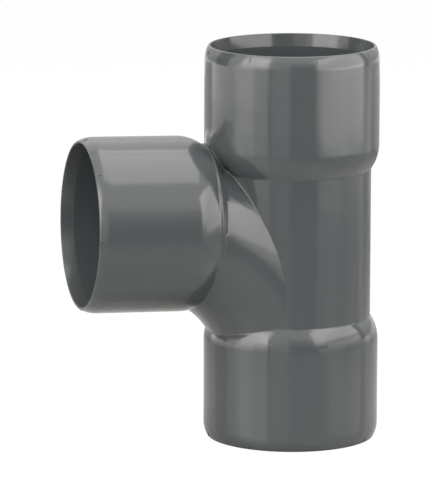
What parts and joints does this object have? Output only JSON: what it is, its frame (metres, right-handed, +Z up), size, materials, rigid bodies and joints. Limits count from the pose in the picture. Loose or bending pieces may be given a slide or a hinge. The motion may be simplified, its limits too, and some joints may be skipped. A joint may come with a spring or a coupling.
{
  "type": "swept tee pipe fitting",
  "caption": "Moulded plastic drainage tee with a swept side branch and plain sockets for solvent-welded pipe, used to join a branch pipe into a straight run.",
  "frame": {"origin": "centre of the lower mouth, in the plane of its rim", "axes": "+Z up the axis of the straight run, -X towards the side branch, +Y across the plane of the two axes"},
  "size_m": [0.0776, 0.0442, 0.1],
  "materials": {
    "grey_plastic": "satin, as moulded"
  },
  "bodies": {
    "root": {"tee_body": "grey_plastic"}
  },
  "joints": []
}
